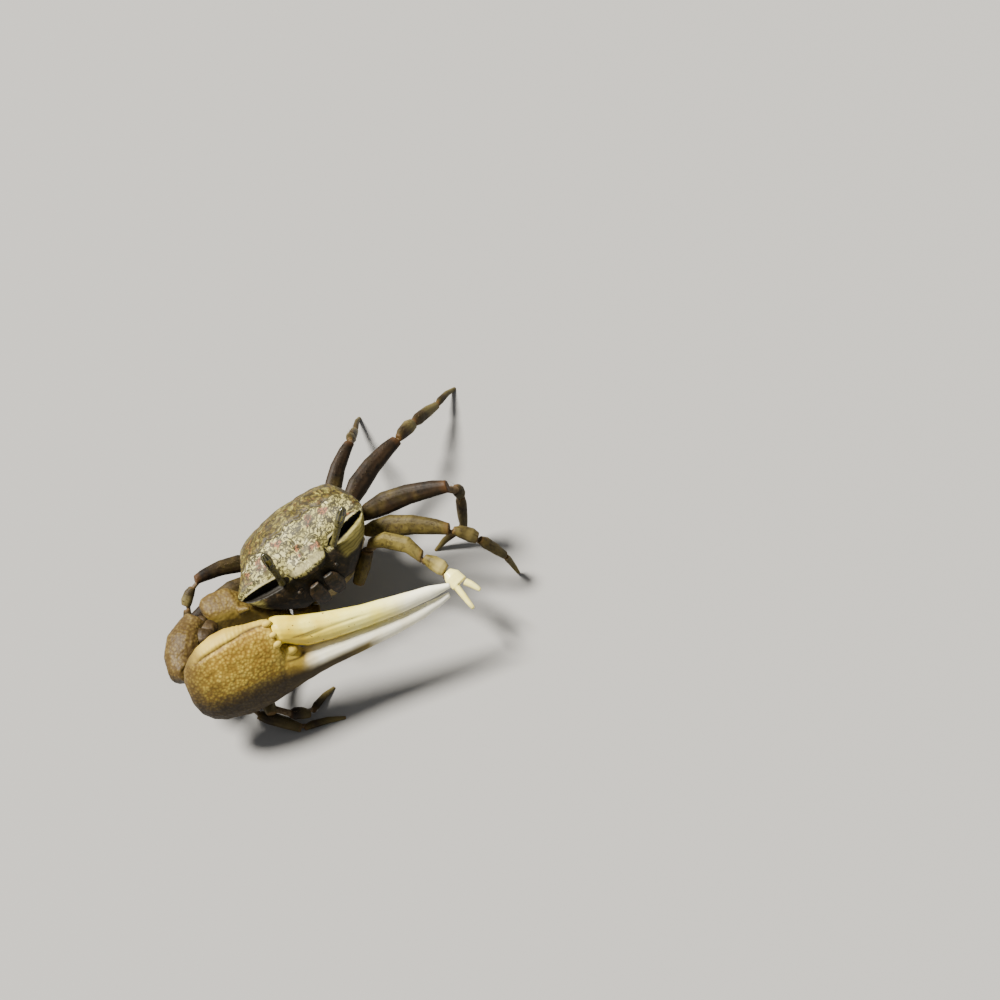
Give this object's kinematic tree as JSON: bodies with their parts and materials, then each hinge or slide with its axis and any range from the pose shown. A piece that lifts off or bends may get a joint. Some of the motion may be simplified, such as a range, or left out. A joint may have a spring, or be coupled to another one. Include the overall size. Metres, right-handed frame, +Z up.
{
  "type": "male fiddler crab",
  "caption": "Life-size male fiddler crab standing on its walking legs, one great claw folded across the front, eyes held up on stalks",
  "frame": {"origin": "on the floor, below the middle of the bounding box", "axes": "+Z up from the floor; the crab faces -Y and its left side is +X, so the great claw lies on the -X and -Y side"},
  "size_m": [0.054, 0.04, 0.0205],
  "materials": {
    "carapace_shell": "dull, finely grained shell, pale with olive-brown marbling",
    "underside_shell": "dull pale ochre and olive shell",
    "claw_shell": "ochre shell with fine granules",
    "finger_shell": "smooth ivory shell",
    "leg_shell": "dull olive-brown shell with fine hairs",
    "eyestalk_skin": "smooth dark olive skin",
    "eye_surface": "glossy dark eye"
  },
  "bodies": {
    "root": {"carapace": "carapace_shell", "sternum": "underside_shell", "abdomen": "underside_shell", "maxilliped_right": "underside_shell", "eyestalk_right": "eyestalk_skin", "eye_right": "eye_surface", "antenna_right": "underside_shell", "leg2_right_merus": "leg_shell", "leg2_right_carpus": "leg_shell", "leg2_right_propodus": "leg_shell", "leg2_right_dactyl": "leg_shell", "leg3_right_merus": "leg_shell", "leg3_right_carpus": "leg_shell", "leg3_right_propodus": "leg_shell", "leg3_right_dactyl": "leg_shell", "leg4_right_merus": "leg_shell", "leg4_right_carpus": "leg_shell", "leg4_right_propodus": "leg_shell", "leg4_right_dactyl": "leg_shell", "leg5_right_merus": "leg_shell", "leg5_right_carpus": "leg_shell", "leg5_right_propodus": "leg_shell", "leg5_right_dactyl": "leg_shell", "maxilliped_left": "underside_shell", "eyestalk_left": "eyestalk_skin", "eye_left": "eye_surface", "antenna_left": "underside_shell", "leg2_left_merus": "leg_shell", "leg2_left_carpus": "leg_shell", "leg2_left_propodus": "leg_shell", "leg2_left_dactyl": "leg_shell", "leg3_left_merus": "leg_shell", "leg3_left_carpus": "leg_shell", "leg3_left_propodus": "leg_shell", "leg3_left_dactyl": "leg_shell", "leg4_left_merus": "leg_shell", "leg4_left_carpus": "leg_shell", "leg4_left_propodus": "leg_shell", "leg4_left_dactyl": "leg_shell", "leg5_left_merus": "leg_shell", "leg5_left_carpus": "leg_shell", "leg5_left_propodus": "leg_shell", "leg5_left_dactyl": "leg_shell", "major_ischium": "claw_shell", "major_merus": "claw_shell", "major_carpus": "claw_shell", "major_palm": "claw_shell", "major_dactyl": "finger_shell", "minor_ischium": "underside_shell", "minor_merus": "leg_shell", "minor_carpus": "leg_shell", "minor_palm": "finger_shell", "minor_dactyl": "finger_shell"}
  },
  "joints": []
}
